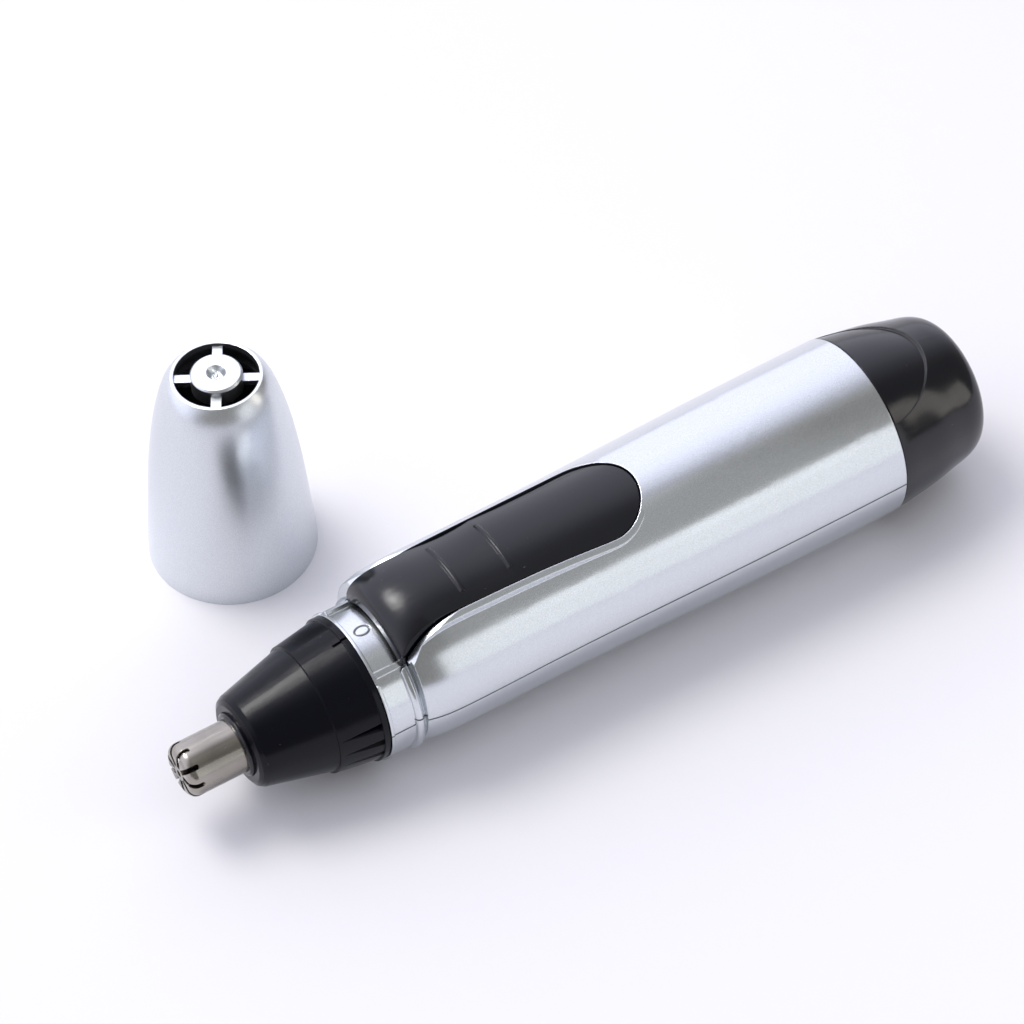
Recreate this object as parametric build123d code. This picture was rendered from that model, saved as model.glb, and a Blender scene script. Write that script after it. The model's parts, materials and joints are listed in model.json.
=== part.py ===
from build123d import *
from math import atan2, cos, degrees, radians, sin
import os

# Battery nose hair trimmer lying on a flat surface with its protective cap standing beside it.
# Everything is drawn in millimetres about the barrel's axis: +X runs to the battery end, +Z is up, and
# X = 0 is where the battery cap meets the shells. place() moves the finished nodes to the row frame,
# whose origin is the bottom centre of the whole object's box.

# ---------------------------------------------------------------- driving dimensions
TIP_X = -112.4  # front end of the cutter tube
TAIL_X = 17.96  # rear end of the battery cap
BARREL_MAX_R = 13.8
BELLY_FLAT = 0.12  # depth of the flat under the belly and bead that stops the trimmer rolling
DRIVE_DROP = 2.1  # the motor, collar and head lie this far below the barrel's axis
DRIVE_Z = -DRIVE_DROP
SIDE_CLEARANCE = 0.25  # switch button to its slot, each side

# barrel: outer radius at stations along X, and the wall under it
BARREL_LINE = [(-79.6, 12.15), (-77.5, 12.65), (-73.0, 12.97), (-65.0, 12.98), (-55.0, 13.0)]
BARREL_LINE += [(-45.0, 13.15), (-30.0, 13.5), (-15.0, 13.74), (0.0, BARREL_MAX_R)]
BARREL_FRONT = BARREL_LINE[0][0]
WALL = 1.6
FRONT_WALL_X = -78.0
SEAM_Z = -0.3  # where the seam meets the bead
SEAM_RISE = 0.5  # degrees
COLLAR_SEAM_Z = -1.4
SEAM_GAP = 0.2
SEAM_LIP = 0.7

# collar at the front of the shells, round the drive axis
COLLAR_FRONT = -84.95
COLLAR_REAR = -79.0
COLLAR_R = 11.1
COLLAR_BORE_R = 9.6
LIP_WIDTH = 0.45
BAND_R = 10.85  # recessed band that the switch button slides over
BAND_SPAN = 36.0  # degrees each side of the top, out to the two ribs
RIB_R = 11.5
RIB_WIDTH = 0.9
BEAD_X = -80.3
BEAD_R = BARREL_MAX_R - DRIVE_DROP  # the bead is the front foot, level with the barrel's belly
BEAD_HALF = 0.75

# switch slot and button
SLOT_END_R = 7.3
SLOT_END_X = -38.0  # rear end of the slot
SLOT_SIDE = [(-48.0, 7.2), (-60.0, 6.75), (-69.0, 6.6), (-73.5, 6.6), (-77.2, 6.9), (-81.0, 7.5)]
SLOT_SIDE += [(-86.0, 8.3)]
SLOT_RIM = 0.8
BUTTON_FRONT = -80.7
SWITCH_TRAVEL = 3.2
RIDGE_X = (-68.9, -61.1)
RIDGE_R = 13.8
RIDGE_HALF_WIDTH = 4.6
BUTTON_REST_R = 13.55
SCOOP_DEPTH = 0.15
BUTTON_UNDER_R = 11.15
BED_R = 11.0
BED_THICK = 0.8

# inner frame, motor and cell
TUBE_R = 7.5
TUBE_WALL = 1.1
FRAME_R = 10.05
DECK_TOP = TUBE_R + TUBE_WALL
MOTOR_R = 7.75
MOTOR_HALF_HEIGHT = 6.0
MOTOR_FRONT = -66.0
MOTOR_REAR = MOTOR_FRONT + 19.5
SHAFT_R = 0.75
BUSH_R = 1.6
CELL_R = 7.2
CELL_END_X = 8.9  # flat end of the AA cell
CELL_LENGTH = 50.5

# head
CONE_REAR = -85.05
CONE_STEP_X = -92.3
CONE_FACE_X = -103.1
CUTTER_R = 4.0
CUTTER_WALL = 0.3
STEM_R = 1.55
TIP_ROUND = 1.3
SLOT_COUNT = 9
SLOT_WIDTH = 0.75
SLOT_END = -110.8
RIM_WIDTH = 0.85
BUSH_SEAT_R = 3.1
SPIGOT_R = 9.35
LUG_R = 9.9
GRIP_ANGLES = (75, 91, 107, -75, -91, -107)  # degrees from the top

# battery cap and protective cap
CAP_GAP = 0.15
TAIL_DROOP = 2.3  # degrees that the battery cap's own axis leans down
SLEEVE_R = 11.95
TONGUE_LENGTH = 11.35
TONGUE_HALF_WIDTH = 9.9
TONGUE_DEPTH = 0.5
TONGUE_FLARE = 1.2  # how far the recess's wall leans out for each millimetre that it rises
HOOD_X = -80.7
HOOD_Y = 41.3
HOOD_BASE_R = 12.4
HOOD_HEIGHT = 35.6
HOOD_TOP_R = 6.55
VENT_R = 6.1
HOOD_WALL = 1.2
HOOD_TURN = -31.0  # the spokes' angle about the cap's own axis
SPOKE_Z = 34.6
SPOKE_WIDTH = 1.5
HUB_R = 3.75
HUB_TOP = 36.2

FLOOR_Z = BELLY_FLAT - BARREL_MAX_R
FAR = 40.0
ROW_ORIGIN = ((TIP_X + TAIL_X) / 2, (HOOD_Y + HOOD_BASE_R - BARREL_MAX_R) / 2, FLOOR_Z)


# ---------------------------------------------------------------- helpers
def turned(points, axis_z=0.0):
    """Ring or disc turned about X from a closed outline of (x, radius) points."""
    outline = Plane.XZ * Polyline(*points, close=True)
    return Pos(0, 0, axis_z) * revolve(make_face(outline), Axis.X)


def rod(x0, x1, radius, axis_z=0.0, bore=0.0):
    """Cylinder or tube along X."""
    return turned([(x0, bore), (x0, radius), (x1, radius), (x1, bore)], axis_z)


def block(x0, x1, y0, y1, z0, z1):
    """Box between two corners."""
    return Pos((x0 + x1) / 2, (y0 + y1) / 2, (z0 + z1) / 2) * Box(x1 - x0, y1 - y0, z1 - z0)


def about_drive(angle, shape):
    """Turns a shape drawn at the top round the drive axis, towards -Y."""
    return Pos(0, 0, DRIVE_Z) * Rot(angle, 0, 0) * Pos(0, 0, DRIVE_DROP) * shape


def place(shape):
    """Moves a node from the barrel's frame to the row frame."""
    return Pos(-ROW_ORIGIN[0], -ROW_ORIGIN[1], -ROW_ORIGIN[2]) * shape


def coil(x0, x1, radius, end_radius, wire_r, turns, axis_z):
    """Compression spring along X, as a wire swept on a straight or tapered helix."""
    pitch = (x1 - x0) / turns
    slope = degrees(atan2(end_radius - radius, x1 - x0))
    path = Helix(pitch, x1 - x0, radius, cone_angle=slope)
    start = path @ 0
    wire = Plane(origin=start, z_dir=path % 0) * Circle(wire_r)
    return Pos(x0, 0, axis_z) * Rot(0, 90, 0) * sweep(wire, path=path, is_frenet=True)


# ---------------------------------------------------------------- shells
def barrel(inset=0.0):
    line = [(x, r - inset) for x, r in BARREL_LINE]
    curve = Plane.XZ * Spline(*line)
    rest = Plane.XZ * Polyline(line[-1], (line[-1][0], 0), (line[0][0], 0), line[0])
    return revolve(make_face(curve + rest), Axis.X)


def slot_face(inset=0.0):
    """Plan outline of the switch slot: round at the rear, flaring towards its open front."""
    centre_x = SLOT_END_X - SLOT_END_R
    end_r = SLOT_END_R - inset
    side = [(centre_x, end_r)] + [(x, y - inset) for x, y in SLOT_SIDE]
    other = [(x, -y) for x, y in side]
    upper = Spline(*side, tangents=[(-1, 0), (-0.98, 0.2)])
    lower = Spline(*other, tangents=[(-1, 0), (-0.98, -0.2)])
    front = Line(side[-1], other[-1])
    end = ThreePointArc(side[0], (centre_x + end_r, 0), other[0])
    return make_face(upper + lower + front + end)


def slot_prism(inset, z0, z1):
    return Pos(0, 0, z0) * extrude(slot_face(inset), z1 - z0)


def land_cutter():
    """Cuts the shell and the slot's rim to a land that falls away at the front."""
    land = [(-83.0, 7.0), (-79.6, 8.3), (-78.0, 9.7), (-75.5, 11.1), (-72.0, 11.9), (-60.0, 12.1)]
    land += [(-50.0, 12.3), (-45.0, 12.9), (-37.0, 15.5)]
    outline = Plane.XZ * (Spline(*land) + Polyline(land[-1], (-37.0, FAR), (-83.0, FAR), land[0]))
    slab = Pos(0, 10.4, 0) * extrude(make_face(outline), 20.8)
    return slab - rod(-86, COLLAR_REAR - 0.4, RIB_R + 0.1, DRIVE_Z)


def slot_rim():
    """Raised rim round the slot, highest beside the button's thumb scoop and fading out at the rear."""
    crest = [(-79.9, 13.1), (-75.0, 13.6), (-66.0, 13.75), (-58.0, 13.7), (-50.0, 13.5), (-42.0, 13.3)]
    crest += [(-36.0, 13.25)]
    rest = Polyline(crest[-1], (crest[-1][0], 0), (crest[0][0], 0), crest[0])
    hill = revolve(make_face(Plane.XZ * (Spline(*crest) + rest)), Axis.X)
    return (slot_prism(-SLOT_RIM, 8.0, FAR) & hill) - barrel(WALL)


def collar():
    """Ring that takes the head, with a thin lip in front and the raised bead behind."""
    ring = rod(COLLAR_FRONT, COLLAR_REAR, COLLAR_R, DRIVE_Z, COLLAR_BORE_R)
    lip = rod(COLLAR_FRONT, COLLAR_FRONT + LIP_WIDTH, COLLAR_R + 0.15, DRIVE_Z, COLLAR_BORE_R)
    front, rear = BEAD_X - BEAD_HALF, BEAD_X + BEAD_HALF
    arch = Plane.XZ * ThreePointArc((front, COLLAR_R), (BEAD_X, BEAD_R), (rear, COLLAR_R))
    chord = Plane.XZ * Polyline((rear, COLLAR_R), (rear, 10.0), (front, 10.0), (front, COLLAR_R))
    return ring + lip + Pos(0, 0, DRIVE_Z) * revolve(make_face(arch + chord), Axis.X)


def band_cut():
    """Recess over the top of the collar, between the two ribs, where the button slides."""
    ring = rod(COLLAR_FRONT + LIP_WIDTH, COLLAR_REAR - 0.6, BEAD_R + 2, DRIVE_Z, BAND_R)
    top, side = FAR * cos(radians(BAND_SPAN)), FAR * sin(radians(BAND_SPAN))
    wedge = Plane.YZ.offset(-90) * make_face(Polyline((0, 0), (-side, top), (side, top), close=True))
    return ring & Pos(0, 0, DRIVE_Z) * extrude(wedge, 20)


def zero_mark():
    """Engraved 0 on the collar's band."""
    ring = Ellipse(1.25, 0.92) - Ellipse(0.98, 0.65)
    return Pos(-82.5, 0, DRIVE_Z + BAND_R - 0.25) * extrude(ring, 1.0)


def bayonet_cut():
    """Groove inside the collar for the head's two lugs, with the notches that they enter by."""
    groove = rod(-82.9, -81.1, LUG_R + 0.2, DRIVE_Z)
    notch = block(COLLAR_FRONT - 1, -82.0, -2.3, 2.3, 0, LUG_R + 0.2 + DRIVE_Z)
    return groove + about_drive(126, notch) + about_drive(-54, notch)


def shell_blank():
    hollow = barrel(WALL) & block(FRONT_WALL_X, 1, -FAR, FAR, -FAR, FAR)
    body = barrel() - hollow + slot_rim() + collar()
    body -= rod(COLLAR_FRONT - 1, FRONT_WALL_X + 0.1, COLLAR_BORE_R, DRIVE_Z)
    slot = slot_prism(0.0, 6.0, FAR) - rod(-90, FRONT_WALL_X + 0.1, COLLAR_R, DRIVE_Z)
    body -= land_cutter()
    body -= slot
    body -= band_cut()
    half = RIB_WIDTH / 2
    rib = block(COLLAR_FRONT + LIP_WIDTH, BEAD_X + 0.3, -half, half, 8.0, RIB_R + DRIVE_Z)
    for side in (-1, 1):
        body += about_drive(side * BAND_SPAN, rib)
    return body - zero_mark() - bayonet_cut()


def tilted(x0, x1, z0, z1):
    """Box between two heights measured from the seam, which rises a little towards the battery end."""
    box = block(x0 - BARREL_FRONT, x1 - BARREL_FRONT, -FAR, FAR, z0, z1)
    return Pos(BARREL_FRONT, 0, SEAM_Z) * Rot(0, -SEAM_RISE, 0) * box


def seam_lip():
    """Tongue inside the lower shell that stands up behind the seam."""
    inside = WALL + 0.1
    trough = barrel(inside) - barrel(inside + SEAM_LIP)
    root = barrel(WALL - 0.2) - barrel(inside + SEAM_LIP)
    return (trough & tilted(-77.0, -7.0, -1.3, 1.3)) + (root & tilted(-77.0, -7.0, -1.3, -SEAM_GAP / 2))


def halves():
    """The space of the upper half and of the lower half; the seam steps down at the collar."""
    step_x = BEAD_X - BEAD_HALF
    gap = SEAM_GAP / 2
    upper = tilted(-85, 5, gap, FAR) & block(step_x, 1, -FAR, FAR, -FAR, FAR)
    upper += block(-90, step_x, -FAR, FAR, COLLAR_SEAM_Z + gap, FAR)
    lower = tilted(-85, 5, -FAR, -gap) & block(step_x, 1, -FAR, FAR, FLOOR_Z, FAR)
    lower += block(-90, step_x, -FAR, FAR, FLOOR_Z, COLLAR_SEAM_Z - gap)
    return upper, lower


# ---------------------------------------------------------------- switch
def button_section():
    """Button before it is cut to the slot's plan: bulged front, then a thumb scoop, then the long tongue."""
    front = [(BUTTON_FRONT, 10.9), (-80.2, 11.9), (-78.7, 12.95), (-76.2, 13.6), (-73.2, 13.75)]
    front += [(-69.4, BUTTON_REST_R)]
    scoop_start, scoop_end = front[-1], (RIDGE_X[1], BUTTON_REST_R)
    middle = ((scoop_start[0] + scoop_end[0]) / 2, BUTTON_REST_R - SCOOP_DEPTH)
    tongue_end = (-37.0, 13.0)
    outline = Spline(*front) + ThreePointArc(scoop_start, middle, scoop_end)
    outline += Spline(scoop_end, (-50.0, 13.2), tongue_end)
    outline += Polyline(tongue_end, (-37.0, 0), (BUTTON_FRONT, 0), front[0])
    return revolve(make_face(Plane.XZ * outline), Axis.X)


def finger_ridge(x):
    """Low rounded ridge across the middle of the button."""
    foot = RIDGE_R - 0.6
    front, rear = (x - 0.45, foot), (x + 0.45, foot)
    outline = ThreePointArc(front, (x, RIDGE_R), rear) + Line(rear, front)
    ring = revolve(make_face(Plane.XZ * outline), Axis.X)
    return ring & block(x - 1, x + 1, -RIDGE_HALF_WIDTH, RIDGE_HALF_WIDTH, 0, FAR)


def switch_button():
    plan = slot_prism(SIDE_CLEARANCE, 5.0, FAR)
    body = button_section()
    for x in RIDGE_X:
        body += finger_ridge(x)
    body = body & plan
    body -= rod(FRONT_WALL_X - 0.3, 0, BUTTON_UNDER_R)
    body -= rod(-90, FRONT_WALL_X + 1.2, RIB_R + 0.12, DRIVE_Z)
    post = block(-66.3, -63.3, -1.6, 1.6, DECK_TOP + 0.7, 11.9)
    return body + post


def switch_bed():
    """Curved plate under the button that closes the slot and guides the button's post."""
    plate = rod(-77.6, -36.4, BED_R, bore=BED_R - BED_THICK) & block(-90, 0, -8.8, 8.8, 0, FAR)
    plate -= block(-66.3 - SWITCH_TRAVEL - 0.2, -63.1, -1.9, 1.9, 0, FAR)
    for side in (-1, 1):
        for x in (-75.0, -58.0, -46.0):
            plate += block(x, x + 2.0, side * 4.8 - 0.6, side * 4.8 + 0.6, DECK_TOP, 9.6)
    return plate


def button_contact():
    """Flat bridge strip under the button's post."""
    return block(-67.8, -61.8, -1.5, 1.5, DECK_TOP + 0.4, DECK_TOP + 0.7)


def switch_contact():
    """Fixed contact that the button's bridge closes on to, running back to the motor's terminal."""
    z0, z1 = DECK_TOP, DECK_TOP + 0.3
    pad = block(-75.0, -68.5, -1.5, 1.5, z0, z1) + block(-75.0, -73.6, 1.4, 3.6, z0, z1)
    run = block(-75.0, -44.3, 2.2, 3.6, z0, z1) + block(-44.6, -44.3, 2.2, 3.6, DRIVE_Z + 0.4, z1)
    return pad + run


# ---------------------------------------------------------------- inner frame and contacts
def inner_frame():
    tube = rod(-43.0, -1.0, TUBE_R + TUBE_WALL, bore=TUBE_R)
    tube += block(-43.0, -1.0, -2.6, 2.6, TUBE_R + 0.2, DECK_TOP)
    for x in (-30.0, -8.5):
        tube += rod(x, x + 1.2, FRAME_R, bore=TUBE_R + 0.5)
    end_wall = rod(-44.2, -42.6, FRAME_R)
    front_wall = rod(-67.4, -66.2, FRAME_R)
    rails = block(-67.0, -43.0, -9.0, 9.0, -7.0, 1.5) - block(-66.2, -44.2, -7.95, 7.95, -FAR, FAR)
    rails = rails & rod(-68, -42, FRAME_R)
    deck = block(-76.5, -43.0, -5.6, 5.6, DECK_TOP - 0.7, DECK_TOP)
    frame = tube + end_wall + front_wall + rails + deck
    frame -= block(-68, 0, -FAR, FAR, DECK_TOP, FAR)
    frame -= rod(-68, -65, 3.1, DRIVE_Z)
    frame -= block(-45, -42, -3.8, -2.0, DRIVE_Z + 0.1, DRIVE_Z + 1.2)
    frame -= block(-44.9, -44.1, 1.9, 3.9, 0, FAR)
    return frame & rod(-80, 0, FRAME_R)


def negative_strip():
    """Flat strip from the battery cap's contact, along the top of the cell's tube, to the switch."""
    return block(-65.5, -0.6, -1.3, 1.3, DECK_TOP, DECK_TOP + 0.3)


def positive_contact():
    """Plate against the cell's button, with a tab through the frame to the motor's terminal."""
    plate = block(-42.6, -42.2, -4.0, 4.0, -5.0, 5.0) + rod(-42.2, -41.6, 2.0)
    tab = block(-44.8, -42.3, -3.5, -2.3, DRIVE_Z + 0.4, DRIVE_Z + 0.8)
    return plate + tab


def cell_parts():
    nub_x = CELL_END_X - CELL_LENGTH
    can = rod(nub_x + 1.0, CELL_END_X, CELL_R - 0.15)
    label = rod(nub_x + 1.3, CELL_END_X - 0.4, CELL_R, bore=CELL_R - 0.15)
    nub = rod(nub_x, nub_x + 1.0, 2.75)
    washer = rod(nub_x + 0.6, nub_x + 1.0, 6.7, bore=2.95)
    return {"cell_can": can, "cell_label": label, "cell_button": nub, "cell_insulator": washer}


# ---------------------------------------------------------------- motor
def flat_sided(x0, x1, radius, half_height):
    """Rod on the drive axis with a flat above and below."""
    slab = block(x0, x1, -FAR, FAR, DRIVE_Z - half_height, DRIVE_Z + half_height)
    return rod(x0, x1, radius, DRIVE_Z) & slab


def motor_parts():
    front, rear = MOTOR_FRONT, MOTOR_REAR
    can = flat_sided(front, rear, MOTOR_R, MOTOR_HALF_HEIGHT)
    can -= flat_sided(front + 0.5, rear + 0.1, MOTOR_R - 0.5, MOTOR_HALF_HEIGHT - 0.5)
    can += rod(front - 1.3, front + 0.2, 2.9, DRIVE_Z)
    can -= rod(front - 2, front + 1, BUSH_R, DRIVE_Z)
    end_cap = flat_sided(rear, rear + 1.6, MOTOR_R, MOTOR_HALF_HEIGHT)
    end_cap -= rod(rear - 1, rear + 2, BUSH_R, DRIVE_Z)
    magnets = rod(front + 2, rear - 2.5, MOTOR_R - 0.55, DRIVE_Z, bore=5.7)
    magnets &= block(-FAR * 2, 0, -FAR, FAR, DRIVE_Z - 4.6, DRIVE_Z + 4.6)
    terminals, brushes = [], []
    for side in (-1, 1):
        y, z = side * 2.9, DRIVE_Z + side * 2.75
        end_cap -= block(rear - 1, rear + 2, y - 0.7, y + 0.7, DRIVE_Z - 0.4, DRIVE_Z + 0.4)
        terminals.append(block(rear - 0.5, rear + 1.9, y - 0.6, y + 0.6, DRIVE_Z, DRIVE_Z + 0.35))
        brushes.append(block(rear - 3.0, rear - 0.2, -1.0, 1.0, z - 0.28, z + 0.28))
    return {
        "motor_can": can,
        "motor_end_cap": end_cap,
        "motor_magnets": magnets,
        "motor_terminals": Compound(children=terminals),
        "motor_brushes": Compound(children=brushes),
        "motor_front_bush": rod(front - 1.3, front + 0.8, BUSH_R, DRIVE_Z, bore=SHAFT_R + 0.04),
        "motor_rear_bush": rod(rear - 0.3, rear + 1.6, BUSH_R, DRIVE_Z, bore=SHAFT_R + 0.04),
    }


def armature_parts():
    core = rod(-61.5, -52.5, 5.4, DRIVE_Z, bore=SHAFT_R)
    for angle in (0, 120, 240):
        core -= about_drive(angle, block(-62, -52, -0.5, 0.5, DRIVE_Z + 4.3, FAR))
        core -= about_drive(angle, block(-62, -52, -2.0, 2.0, DRIVE_Z + 2.0, DRIVE_Z + 4.5))
    dog = rod(-77.6, -71.5, 2.1, DRIVE_Z) + block(-83.6, -77.4, -1.15, 1.15, DRIVE_Z - 1.15, DRIVE_Z + 1.15)
    return {
        "motor_shaft": rod(-76.0, MOTOR_REAR + 1.2, SHAFT_R, DRIVE_Z),
        "armature_core": core,
        "armature_windings": rod(-63.0, -51.0, 4.4, DRIVE_Z, bore=SHAFT_R) - core,
        "commutator": rod(-49.8, -46.9, 2.4, DRIVE_Z, bore=SHAFT_R),
        "drive_dog": dog - rod(-76.0, -71, SHAFT_R, DRIVE_Z),
    }


# ---------------------------------------------------------------- head
def grip_groove():
    """V groove along the big stage, deepest at its rear end."""
    section = make_face(Polyline((0, 9.75), (1.1, 11.4), (-1.1, 11.4), close=True))
    return Pos(0, 0, DRIVE_Z) * extrude(Plane.YZ.offset(CONE_REAR - RIM_WIDTH) * section, -7.0)


def head_cone():
    rim_x = CONE_REAR - RIM_WIDTH
    outside = [(CONE_REAR, SPIGOT_R), (CONE_REAR, 10.95), (rim_x, 10.95), (rim_x, 10.68), (CONE_STEP_X, 9.72)]
    outside += [(CONE_STEP_X, 9.4), (-102.1, 7.0), (-102.75, 6.6), (CONE_FACE_X, 5.9)]
    inside = [(CONE_FACE_X, 4.85), (-102.0, 4.85), (-102.0, CUTTER_R), (-97.4, CUTTER_R), (-97.4, 5.4)]
    inside += [(-95.2, 5.4), (-95.2, BUSH_SEAT_R), (-93.8, BUSH_SEAT_R), (-93.8, 7.4), (-86.5, 7.8)]
    spigot = [(-81.0, 7.8), (-81.0, SPIGOT_R)]
    cone = turned(outside + inside + spigot, DRIVE_Z)
    for angle in GRIP_ANGLES:
        cone -= about_drive(angle, grip_groove())
    cone -= block(-87.2, CONE_REAR, -0.18, 0.18, DRIVE_Z + 10.25, FAR)
    lug = block(-82.6, -81.4, -1.9, 1.9, DRIVE_Z + 8.6, DRIVE_Z + LUG_R) & rod(-83, -81, LUG_R, DRIVE_Z)
    return cone + about_drive(90, lug) + about_drive(-90, lug)


def tip_profile(inset):
    """Half outline of the tube's rounded closed end, from its axis to its side."""
    radius = CUTTER_R - inset
    front = TIP_X + inset
    corner = TIP_ROUND - inset
    middle = (front + corner * 0.293, radius - corner * 0.293)
    face = Plane.XZ * Line((front, 0), (front, radius - corner))
    return face + Plane.XZ * ThreePointArc((front, radius - corner), middle, (front + corner, radius))


def tube_solid(inset, rear):
    front, radius = TIP_X + inset, CUTTER_R - inset
    back = Plane.XZ * Polyline((TIP_X + TIP_ROUND, radius), (rear, radius), (rear, 0), (front, 0))
    return Pos(0, 0, DRIVE_Z) * revolve(make_face(tip_profile(inset) + back), Axis.X)


def cutter_tube():
    """Steel tube with a rounded closed end, combed by slots that run over the end."""
    tube = tube_solid(0, -98.0) - tube_solid(CUTTER_WALL, -97.0)
    slot = block(TIP_X - 1, SLOT_END, -SLOT_WIDTH / 2, SLOT_WIDTH / 2, DRIVE_Z + 1.15, FAR)
    slot += Pos(SLOT_END, 0, DRIVE_Z + 1.15) * extrude(Circle(SLOT_WIDTH / 2), FAR)
    for index in range(SLOT_COUNT):
        tube -= about_drive(index * 360 / SLOT_COUNT, slot)
    return tube - rod(TIP_X - 1, TIP_X + 1, 0.5, DRIVE_Z)


def head_parts():
    profile = [(-103.7, CUTTER_R), (-103.7, 4.5), (-103.4, 4.8), (-102.0, 4.8), (-102.0, CUTTER_R)]
    ring = turned(profile, DRIVE_Z)
    bore = STEM_R + 0.07
    bush = rod(-97.2, -93.8, BUSH_SEAT_R, DRIVE_Z, bore) - rod(-98, -95.2, 6, DRIVE_Z, bore=2.6)
    bush += rod(-95.6, -95.2, 4.4, DRIVE_Z, bore)
    return {"head_cone": head_cone(), "cutter_tube": cutter_tube(), "tube_ring": ring, "stem_bush": bush}


def blade_parts():
    clearance = CUTTER_WALL + 0.12
    reach = CUTTER_R - clearance
    blade = block(TIP_X, -104.0, -0.25, 0.25, DRIVE_Z - reach, DRIVE_Z + reach)
    blade &= tube_solid(clearance, -104.0)
    blade -= block(TIP_X + 1.6, -104.4, -1, 1, DRIVE_Z - 2.5, DRIVE_Z + 2.5)
    stem = rod(-104.0, -102.4, 3.45, DRIVE_Z) + rod(-102.5, -85.5, STEM_R, DRIVE_Z)
    stem += rod(-86.0, -79.2, 3.3, DRIVE_Z)
    stem -= block(-84.2, -79, -1.3, 1.3, DRIVE_Z - 1.3, DRIVE_Z + 1.3)
    spring = coil(-102.2, -97.6, 2.1, 2.1, 0.2, 5, DRIVE_Z)
    return {"inner_blade": blade, "blade_stem": stem, "blade_spring": spring}


# ---------------------------------------------------------------- battery cap
def tail_solid():
    """Outside of the battery cap: a barrel end that leans down slightly, with a rounded flat end."""
    side = [(-2.0, 13.72), (0.0, 13.72), (3.5, 13.32), (8.0, 12.67), (12.0, 11.8), (14.94, 11.05)]
    end = [(16.0, 10.42), (16.9, 9.2), (17.5, 7.4), (17.75, 5.4)]
    curve = Plane.XZ * Spline(*side, *end, tangents=[(1, 0), (0.08, -1)])
    rest = Plane.XZ * Polyline(end[-1], (17.79, 4.6), (17.79, 0), (-2.0, 0), side[0])
    lean = Rot(0, TAIL_DROOP, 0) * revolve(make_face(curve + rest), Axis.X)
    return lean & block(CAP_GAP, TAIL_X + 1, -FAR, FAR, FLOOR_Z, FAR)


def thumb_scoop():
    """Shallow elliptical recess in the top of the battery cap, deepest at its rear edge."""
    ends = []
    for z in (9.0, 15.0):
        length = TONGUE_LENGTH + (z - 12.1) * TONGUE_FLARE
        half_width = TONGUE_HALF_WIDTH + (z - 9.4) * TONGUE_FLARE
        ends.append(Pos(0, 0, z) * Ellipse(length, half_width))
    tongue = loft(ends, ruled=True)
    floor = [(-2.0, 13.95), (0.5, 13.65), (4.5, 13.1), (8.0, 12.67 - 0.6 * TONGUE_DEPTH)]
    floor += [(11.0, 12.05 - TONGUE_DEPTH), (13.5, 11.42 - TONGUE_DEPTH)]
    curve = Plane.XZ * Spline(*floor)
    rest = Plane.XZ * Polyline(floor[-1], (13.5, 0), (-2.0, 0), floor[0])
    return tongue - Rot(0, TAIL_DROOP, 0) * revolve(make_face(curve + rest), Axis.X)


def battery_cap():
    cavity = [(-1, 0), (-1, 11.95), (3.0, 11.7), (8.0, 10.8), (12.0, 9.7), (15.2, 8.0), (15.2, 0)]
    cap = tail_solid() - turned(cavity) - thumb_scoop()
    cap += rod(-6.0, 2.5, SLEEVE_R, bore=10.6)
    return cap + rod(14.2, 15.3, 6.2, bore=5.0)


def tail_contact_parts():
    z1 = DECK_TOP + 0.3
    outline = [(-0.5, DECK_TOP), (9.8, DECK_TOP), (13.9, 6.6), (13.9, 6.95), (9.9, z1), (-0.5, z1)]
    profile = Polyline(*outline, close=True)
    arm = Pos(0, 1.3, 0) * extrude(make_face(Plane.XZ * profile), 2.6)
    contact = arm + rod(13.8, 14.2, 7.0)
    spring = coil(CELL_END_X + 0.45, 13.3, 4.0, 5.2, 0.4, 3, 0.0)
    return {"cap_contact": contact, "battery_spring": spring}


# ---------------------------------------------------------------- protective cap
def hood_profile(inset=0.0):
    """Half outline of the cap's flank as (radius, height) points, from its rim up to its vented end."""
    line = [(HOOD_BASE_R, 0), (12.1, 5), (11.75, 9.5), (11.25, 15.5), (10.7, 20.5), (9.95, 25.5), (9.0, 30)]
    line += [(8.4, 32.2), (7.65, 34.1), (HOOD_TOP_R, HOOD_HEIGHT)]
    return [(r - inset, z) for r, z in line]


def protective_cap():
    outer = hood_profile()
    edge = Spline(*outer) + Polyline(outer[-1], (0, HOOD_HEIGHT), (0, 0), outer[0])
    cap = revolve(make_face(Plane.XZ * edge), Axis.Z)
    inner = hood_profile(HOOD_WALL)[:-1] + [(VENT_R, SPOKE_Z)]
    core = Spline(*inner) + Polyline(inner[-1], (VENT_R, 36), (0, 36), (0, 0), inner[0])
    cap -= revolve(make_face(Plane.XZ * core), Axis.Z)
    span = 2 * (HOOD_TOP_R - 0.2)
    cap += Pos(0, 0, SPOKE_Z) * Box(span, SPOKE_WIDTH, 0.9) + Pos(0, 0, SPOKE_Z) * Box(SPOKE_WIDTH, span, 0.9)
    hub_base = 33.4
    hub = Pos(0, 0, hub_base) * extrude(Circle(HUB_R), HUB_TOP - hub_base)
    hub = chamfer(hub.edges().sort_by(Axis.Z)[-1], 0.3)
    hub -= Pos(0, 0, HUB_TOP - 0.5) * Cone(0.75, 1.4, 1.0)
    hub += Pos(0, 0, HUB_TOP - 1.0) * Sphere(0.5)
    ledge = Pos(0, 0, 31.0) * extrude(Circle(7.9) - Circle(6.6), 0.8)
    return Pos(HOOD_X, HOOD_Y, FLOOR_Z) * Rot(0, 0, HOOD_TURN) * (cap + hub + ledge)


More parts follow.
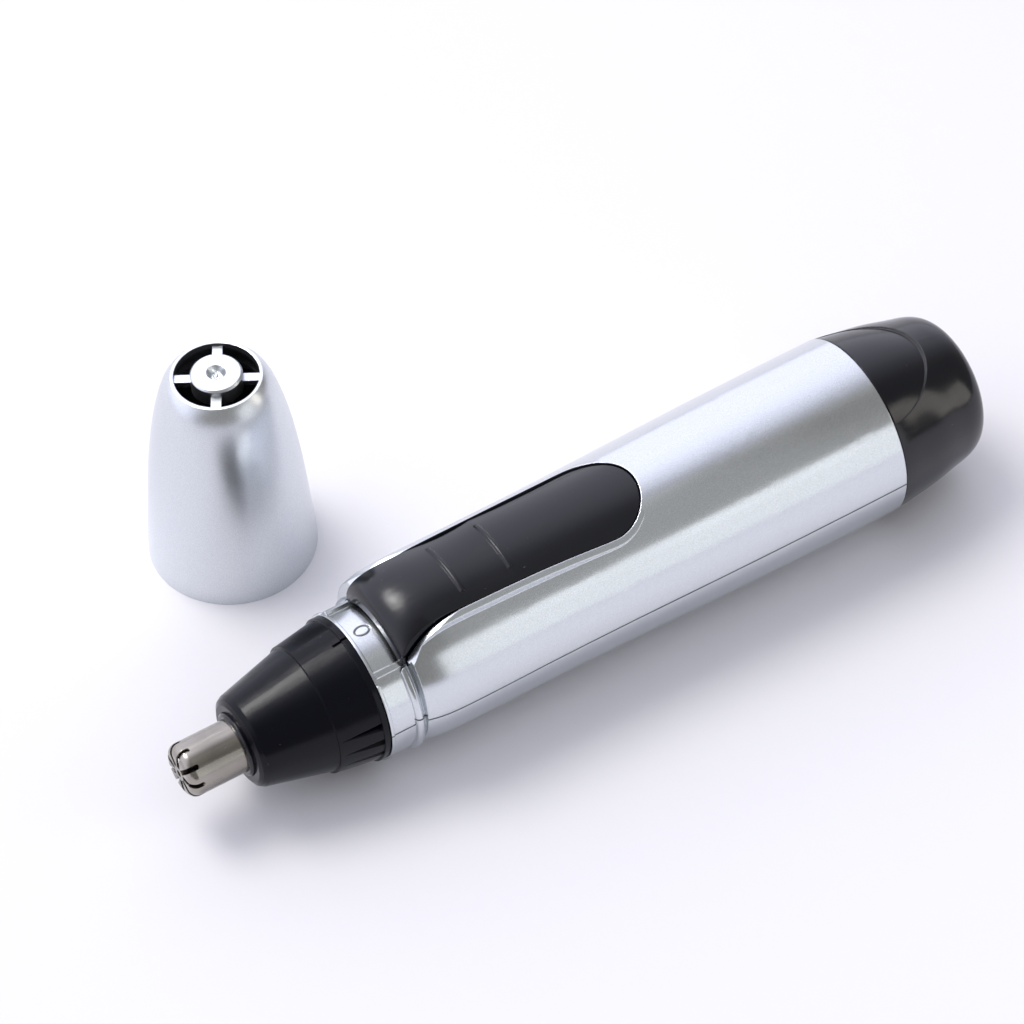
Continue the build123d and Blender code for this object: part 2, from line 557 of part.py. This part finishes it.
# ---------------------------------------------------------------- nodes
blank = shell_blank()
upper_half, lower_half = halves()
nodes = {
    "upper_shell": blank & upper_half,
    "lower_shell": (blank & lower_half) + seam_lip(),
    "switch_button": switch_button(),
    "switch_bed": switch_bed(),
    "button_contact": button_contact(),
    "switch_contact": switch_contact(),
    "inner_frame": inner_frame(),
    "negative_strip": negative_strip(),
    "positive_contact": positive_contact(),
    "battery_cap": battery_cap(),
    "protective_cap": protective_cap(),
}
for make_group in (cell_parts, motor_parts, armature_parts, head_parts, blade_parts, tail_contact_parts):
    nodes.update(make_group())

os.makedirs("parts", exist_ok=True)
for name, shape in nodes.items():
    export_step(place(shape), f"parts/{name}.step")
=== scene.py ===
import bpy
import json
import math
from mathutils import Matrix, Vector


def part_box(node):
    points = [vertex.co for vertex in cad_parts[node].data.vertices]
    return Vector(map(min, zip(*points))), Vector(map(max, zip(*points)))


# Battery nose hair trimmer lying on pale paper, with its protective cap standing beside it. Lengths are in
# metres in the row frame: +X runs to the battery end, +Z is up, and the camera looks from -X and -Y.
# Azimuths and elevations are in degrees.

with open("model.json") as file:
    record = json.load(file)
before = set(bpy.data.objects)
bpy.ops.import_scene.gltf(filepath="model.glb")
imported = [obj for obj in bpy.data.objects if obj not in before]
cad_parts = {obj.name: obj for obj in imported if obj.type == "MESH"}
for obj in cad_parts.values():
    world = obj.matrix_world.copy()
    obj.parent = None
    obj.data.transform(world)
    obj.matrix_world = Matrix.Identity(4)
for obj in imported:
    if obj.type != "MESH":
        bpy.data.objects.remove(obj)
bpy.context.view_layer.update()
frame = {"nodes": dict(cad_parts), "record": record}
nodes = frame["nodes"]

MM = 0.001


# ---------------------------------------------------------------- places on the object
def box_centre(node):
    low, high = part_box(node)
    return (Vector(low) + Vector(high)) / 2


DRIVE_DROP = 2.1 * MM  # the head and collar lie this far below the barrel's axis
SHELL_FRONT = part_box("upper_shell")[0][0]
AXIS_Y = box_centre("lower_shell").y
AXIS_Z = box_centre("head_cone").z + DRIVE_DROP
HOOD_CENTRE = box_centre("protective_cap")
HOOD_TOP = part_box("protective_cap")[1][2]
HOOD_HUB_R = 4.0 * MM
HOOD_LEDGE_DEPTH = 2.2 * MM  # everything level inside the cap lower than this is the ledge under the vents
SEAM_REACH = 3.0 * MM  # the seam's level faces all lie within this of the barrel's axis
BAND_R = 10.85 * MM  # recessed band of the collar, which carries the 0
ZERO_SPAN = (1.0 * MM, 3.6 * MM)  # along X from the front of the shells
ZERO_HALF_WIDTH = 2.2 * MM
ZERO_DEPTH = 0.05 * MM

# ---------------------------------------------------------------- camera
CAMERA_AZIMUTH = -31.205
CAMERA_ELEVATION = 49.297
CAMERA_ROLL = -1.656
CAMERA_DISTANCE = 668.73 * MM
CAMERA_LENS = 160.06
CAMERA_SENSOR = 36.0
LOOK_AT = Vector((SHELL_FRONT + 41.225 * MM, AXIS_Y + 23.35 * MM, -0.12 * MM))


def make_camera():
    a = math.radians(CAMERA_AZIMUTH)
    e = math.radians(CAMERA_ELEVATION)
    roll = math.radians(CAMERA_ROLL)
    back = Vector((math.sin(a) * math.cos(e), -math.cos(a) * math.cos(e), math.sin(e)))
    level_right = (-back).cross(Vector((0, 0, 1))).normalized()
    level_up = level_right.cross(-back)
    right = level_right * math.cos(roll) + level_up * math.sin(roll)
    up = level_up * math.cos(roll) - level_right * math.sin(roll)
    data = bpy.data.cameras.new("camera")
    data.lens = CAMERA_LENS
    data.sensor_width = CAMERA_SENSOR
    data.clip_start = 0.01
    data.clip_end = 20.0
    camera = bpy.data.objects.new("camera", data)
    turn = Matrix((right, up, back)).transposed().to_4x4()
    camera.matrix_world = Matrix.Translation(LOOK_AT + back * CAMERA_DISTANCE) @ turn
    bpy.context.scene.collection.objects.link(camera)
    bpy.context.scene.camera = camera


# ---------------------------------------------------------------- materials
EDGE_RADIUS = 0.2 * MM  # how far moulded edges look rounded


class Nodes:
    """Short way to build a material's node tree."""

    def __init__(self, name):
        self.material = bpy.data.materials.new(name)
        self.material.use_nodes = True
        self.tree = self.material.node_tree
        self.shader = self.tree.nodes["Principled BSDF"]

    def add(self, kind, **settings):
        node = self.tree.nodes.new(kind)
        for key, value in settings.items():
            setattr(node, key, value)
        return node

    def link(self, source, target):
        self.tree.links.new(source, target)

    def set(self, **values):
        """Sets inputs of the shader, with _ for a space in their names."""
        for key, value in values.items():
            self.shader.inputs[key.replace("_", " ")].default_value = value

    def coords(self):
        return self.add("ShaderNodeTexCoord").outputs["Object"]

    def stretched(self, scale):
        """Object coordinates scaled by axis: a small scale draws the pattern out along its axis."""
        node = self.add("ShaderNodeMapping")
        node.inputs["Scale"].default_value = scale
        self.link(self.coords(), node.inputs["Vector"])
        return node.outputs["Vector"]

    def noise(self, scale, detail=2.0, rough=0.5, vector=None):
        node = self.add("ShaderNodeTexNoise")
        node.inputs["Scale"].default_value = scale
        node.inputs["Detail"].default_value = detail
        node.inputs["Roughness"].default_value = rough
        self.link(vector or self.coords(), node.inputs["Vector"])
        return node.outputs["Fac"]

    def ramp(self, value, low, high, at0=0.3, at1=0.7):
        """Maps value from at0..at1 to low..high."""
        node = self.add("ShaderNodeMapRange")
        self.link(value, node.inputs["Value"])
        node.inputs["From Min"].default_value = at0
        node.inputs["From Max"].default_value = at1
        node.inputs["To Min"].default_value = low
        node.inputs["To Max"].default_value = high
        return node.outputs["Result"]

    def color(self, factor, first, second):
        node = self.add("ShaderNodeMix", data_type="RGBA")
        self.link(factor, node.inputs["Factor"])
        node.inputs["A"].default_value = (*first, 1.0)
        node.inputs["B"].default_value = (*second, 1.0)
        self.link(node.outputs["Result"], self.shader.inputs["Base Color"])

    def roughness(self, value):
        self.link(value, self.shader.inputs["Roughness"])

    def bump(self, height, strength, distance, edge_radius=0.0):
        """Relief from height, over edges that look rounded where edge_radius is given."""
        node = self.add("ShaderNodeBump")
        node.inputs["Strength"].default_value = strength
        node.inputs["Distance"].default_value = distance
        self.link(height, node.inputs["Height"])
        if edge_radius:
            bevel = self.add("ShaderNodeBevel", samples=6)
            bevel.inputs["Radius"].default_value = edge_radius
            self.link(bevel.outputs["Normal"], node.inputs["Normal"])
        self.link(node.outputs["Normal"], self.shader.inputs["Normal"])


def silver_lacquer(name, rough):
    """Metallic lacquer on plastic: fine flake and a faint haze."""
    made = Nodes(name)
    made.set(Metallic=1.0, IOR=1.5)
    flake = made.ramp(made.noise(7000.0, detail=1.0), 0, 1)
    haze = made.noise(60.0, detail=3.0)
    made.color(flake, (0.61, 0.64, 0.67), (0.72, 0.745, 0.775))
    made.roughness(made.ramp(haze, rough, rough + 0.04))
    made.bump(made.noise(4500.0, detail=1.0), 0.06, 0.02 * MM, EDGE_RADIUS)
    return made.material


def black_plastic(name, rough, shine=0.5):
    """Black moulding with dust specks, fine scuffs and a slight waviness."""
    made = Nodes(name)
    made.set(IOR=1.5, Specular_IOR_Level=shine)
    speck = made.noise(1400.0)
    scuff = made.noise(220.0, detail=6.0, rough=0.7, vector=made.stretched((1.0, 5.0, 5.0)))
    made.color(made.ramp(speck, 0, 1, 0.75, 0.82), (0.0016, 0.002, 0.005), (0.06, 0.06, 0.065))
    made.roughness(made.ramp(scuff, rough, rough + 0.06, 0.4, 0.75))
    made.bump(made.noise(700.0), 0.03, 0.05 * MM, EDGE_RADIUS)
    return made.material


def plain_plastic(name, color, rough=0.45):
    """Uncoated moulding or paint with a fine grain and uneven tone."""
    made = Nodes(name)
    dark = [channel * 0.86 for channel in color]
    made.color(made.ramp(made.noise(180.0, detail=4.0), 0, 1), dark, color)
    made.roughness(made.ramp(made.noise(90.0, detail=3.0), rough - 0.06, rough + 0.08))
    made.bump(made.noise(1500.0), 0.12, 0.04 * MM)
    return made.material


def metal(name, color, rough, lines=(1.0, 1.0, 1.0), scale=900.0):
    """Metal with drawn or turned lines: lines stretches the grain along one axis."""
    made = Nodes(name)
    made.set(Metallic=1.0)
    grain = made.noise(scale, detail=3.0, rough=0.6, vector=made.stretched(lines))
    dark = [channel * 0.72 for channel in color]
    made.color(made.ramp(made.noise(120.0, detail=4.0), 0, 1), dark, color)
    made.roughness(made.ramp(grain, rough - 0.05, rough + 0.1))
    made.bump(grain, 0.15, 0.02 * MM)
    return made.material


MATERIALS = {
    "silver_lacquer": silver_lacquer("silver_lacquer", 0.17),
    "silver_satin": silver_lacquer("silver_satin", 0.29),
    "black_plastic": black_plastic("black_plastic", 0.15),
    "black_satin": black_plastic("black_satin", 0.18, shine=0.2),
    # Dark grey for the floor of the engraved 0: painted shade of the engraving.
    "engraved_zero_shade": plain_plastic("engraved_zero_shade", (0.2, 0.2, 0.21)),
    # Near-black: the bare moulding inside the protective cap, and painted shade on the shells' seam faces
    # and inner walls.
    "inner_plastic": plain_plastic("inner_plastic", (0.03, 0.03, 0.033)),
    "white_plastic": plain_plastic("white_plastic", (0.78, 0.77, 0.72)),
    "steel": metal("steel", (0.37, 0.345, 0.31), 0.19, lines=(0.06, 1.0, 1.0), scale=1600.0),
    "spring_steel": metal("spring_steel", (0.66, 0.65, 0.63), 0.2),
    "nickel_strip": metal("nickel_strip", (0.62, 0.6, 0.56), 0.28, lines=(0.05, 1.0, 1.0)),
    "cell_case": metal("cell_case", (0.6, 0.6, 0.6), 0.3),
    "cell_label": plain_plastic("cell_label", (0.08, 0.2, 0.28), 0.25),
    "ferrite": metal("ferrite", (0.1, 0.1, 0.1), 0.6),
    "copper": metal("copper", (0.7, 0.3, 0.14), 0.35, lines=(0.3, 1.0, 1.0), scale=3000.0),
    "bronze": metal("bronze", (0.6, 0.42, 0.2), 0.4),
    "carbon": plain_plastic("carbon", (0.04, 0.04, 0.04), 0.6),
}
OWN_FINISH = {"head_cone": "black_satin", "protective_cap": "silver_satin"}


def give_materials():
    """Every node gets its record's material, or its own finish of it."""
    slots = {part["node"]: part["material_slot"] for part in frame["record"]["subparts"]}
    for name, obj in nodes.items():
        obj.data.materials.clear()
        obj.data.materials.append(MATERIALS[OWN_FINISH.get(name, slots[name])])


# ---------------------------------------------------------------- faces with another material
def paint_faces(node, material, chosen):
    """Gives the faces picked by chosen(centre, normal), both in the row frame, one more material."""
    obj = nodes[node]
    obj.data.materials.append(MATERIALS[material])
    turn = obj.matrix_world.to_3x3()
    for face in obj.data.polygons:
        if chosen(obj.matrix_world @ face.center, turn @ face.normal):
            face.material_index = len(obj.data.materials) - 1


def turned_inward(normal, outward):
    return normal.dot(outward.normalized()) < -0.3


def inside_hood(centre, normal):
    """Inner walls of the protective cap and the ledge under its vents, but not its hub."""
    outward = (centre - HOOD_CENTRE) * Vector((1, 1, 0))
    if outward.length <= HOOD_HUB_R:
        return False
    if normal.z > 0.7:
        return centre.z < HOOD_TOP - HOOD_LEDGE_DEPTH
    return turned_inward(normal, outward)


def inside_shell(centre, normal):
    """Inner walls and seam faces of a shell half, which get the near-black painted shade of the seam gap."""
    outward = Vector((0, centre.y - AXIS_Y, centre.z - AXIS_Z))
    on_seam = abs(normal.z) > 0.9 and abs(outward.z) < SEAM_REACH
    return on_seam or turned_inward(normal, outward)


def zero_floor(centre, normal):
    """Floor of the 0 engraved in the top of the collar, which gets the painted shade of the engraving."""
    outward = Vector((0, centre.y - AXIS_Y, centre.z - AXIS_Z + DRIVE_DROP))
    on_collar = ZERO_SPAN[0] < centre.x - SHELL_FRONT < ZERO_SPAN[1]
    on_top = abs(outward.y) < ZERO_HALF_WIDTH and normal.z > 0.7
    return on_collar and on_top and outward.length < BAND_R - ZERO_DEPTH


# ---------------------------------------------------------------- studio
FLOOR_HALF = 3.0
ROOM_LEVEL = 1.55
ROOM_AXIS = (-0.30, 0.87, 0.08)  # towards the brightest part of the room
ROOM_STOPS = [(-0.32, 0.18), (-0.20, 0.19), (-0.10, 0.25), (0.05, 0.47), (0.20, 0.74), (0.35, 0.92)]
ROOM_STOPS += [(0.55, 1.0)]
DARK_LEVEL = 0.3  # stops below this are unlit room, the others are white wall
DARK_TINT = (1.0, 0.99, 0.96)
WALL_TINT = (0.86, 0.87, 1.0)
PANEL_SIZE = (0.12, 0.72)
PANEL_LEVEL = 0.17
PANEL_TURN = 20.6
PANEL_OFFSET = Vector((0.2215, -0.368, 0.314))  # from the front of the shells, on the floor


def toward(azimuth, elevation):
    """Direction by azimuth from +Y towards +X, and elevation."""
    a, e = math.radians(azimuth), math.radians(elevation)
    return Vector((math.sin(a) * math.cos(e), math.cos(a) * math.cos(e), math.sin(e)))


def area_light(name, size, level, color, shape="RECTANGLE", diffuse=True, glossy=True):
    """Flat light; level is close to what a mirror would show."""
    data = bpy.data.lights.new(name, "AREA")
    data.shape = shape
    data.size, data.size_y = size
    data.energy = level * math.pi * size[0] * size[1]
    data.color = color
    light = bpy.data.objects.new(name, data)
    light.visible_camera = False
    light.visible_diffuse = diffuse
    light.visible_glossy = glossy
    bpy.context.scene.collection.objects.link(light)
    return light


def softbox(name, azimuth, elevation, distance, size, level, color, **kind):
    """Area light aimed at the object."""
    light = area_light(name, size, level, color, **kind)
    place = toward(azimuth, elevation) * distance
    light.location = place
    light.rotation_mode = "QUATERNION"
    light.rotation_quaternion = (-place).to_track_quat("-Z", "Y")


def overhead_panel():
    """Long flat panel over the front of the trimmer."""
    light = area_light("panel", PANEL_SIZE, PANEL_LEVEL, (0.93, 0.96, 1.0))
    light.location = Vector((SHELL_FRONT, AXIS_Y, 0)) + PANEL_OFFSET
    light.rotation_euler = (0, 0, math.radians(PANEL_TURN))


def room():
    """White wall behind and dim room in front: brightness follows how far a direction turns to ROOM_AXIS."""
    world = bpy.data.worlds.new("room")
    world.use_nodes = True
    tree = world.node_tree
    coords = tree.nodes.new("ShaderNodeTexCoord")
    turn = tree.nodes.new("ShaderNodeVectorMath")
    turn.operation = "DOT_PRODUCT"
    turn.inputs[1].default_value = ROOM_AXIS
    shift = tree.nodes.new("ShaderNodeMath")  # -1..1 to the ramp's 0..1
    shift.operation = "MULTIPLY_ADD"
    shift.inputs[1].default_value = 0.5
    shift.inputs[2].default_value = 0.5
    ramp = tree.nodes.new("ShaderNodeValToRGB")
    while len(ramp.color_ramp.elements) < len(ROOM_STOPS):
        ramp.color_ramp.elements.new(0.5)
    for element, (at, level) in zip(ramp.color_ramp.elements, ROOM_STOPS):
        tint = DARK_TINT if level < DARK_LEVEL else WALL_TINT
        element.position = 0.5 + at / 2
        element.color = (*(level * channel for channel in tint), 1.0)
    background = tree.nodes["Background"]
    background.inputs["Strength"].default_value = ROOM_LEVEL
    tree.links.new(coords.outputs["Generated"], turn.inputs[0])
    tree.links.new(turn.outputs["Value"], shift.inputs[0])
    tree.links.new(shift.outputs["Value"], ramp.inputs["Fac"])
    tree.links.new(ramp.outputs["Color"], background.inputs["Color"])
    bpy.context.scene.world = world


def floor():
    """Pale paper, very slightly uneven in tone."""
    mesh = bpy.data.meshes.new("floor")
    corners = [(x * FLOOR_HALF, y * FLOOR_HALF, 0) for x, y in ((-1, -1), (1, -1), (1, 1), (-1, 1))]
    mesh.from_pydata(corners, [], [(0, 1, 2, 3)])
    obj = bpy.data.objects.new("floor", mesh)
    made = Nodes("floor_paper")
    made.set(Roughness=0.9)
    made.color(made.ramp(made.noise(3.0), 0, 1), (0.76, 0.752, 0.777), (0.78, 0.772, 0.797))
    mesh.materials.append(made.material)
    bpy.context.scene.collection.objects.link(obj)


def lights():
    """A key behind on the left, with a separate glint to mirror, and soft boxes round the front."""
    overhead_panel()
    softbox("key", -30, 62, 0.8, (0.42, 0.42), 4.8, (1.0, 0.965, 0.88), shape="ELLIPSE", glossy=False)
    softbox("glint", -30, 62, 0.8, (0.28, 0.28), 42.0, (1.0, 0.98, 0.95), shape="ELLIPSE", diffuse=False)
    softbox("side", 127, 20, 0.9, (0.2, 0.55), 1.9, (1.0, 0.94, 0.86))
    softbox("bounce", 165, 60, 1.0, (0.8, 0.8), 1.05, (0.8, 0.85, 1.0), glossy=False)
    softbox("fill", 157, 16, 0.9, (0.5, 0.5), 0.88, (0.93, 0.96, 1.0), diffuse=False)


make_camera()
give_materials()
paint_faces("protective_cap", "inner_plastic", inside_hood)
# The shells' seam faces and inner walls are painted near-black: painted shade of the seam gap.
for shell in ("upper_shell", "lower_shell"):
    paint_faces(shell, "inner_plastic", inside_shell)
# The floor of the engraved 0 is painted dark grey: painted shade of the engraving.
paint_faces("upper_shell", "engraved_zero_shade", zero_floor)
floor()
room()
lights()
bpy.context.scene.view_settings.view_transform = "Standard"
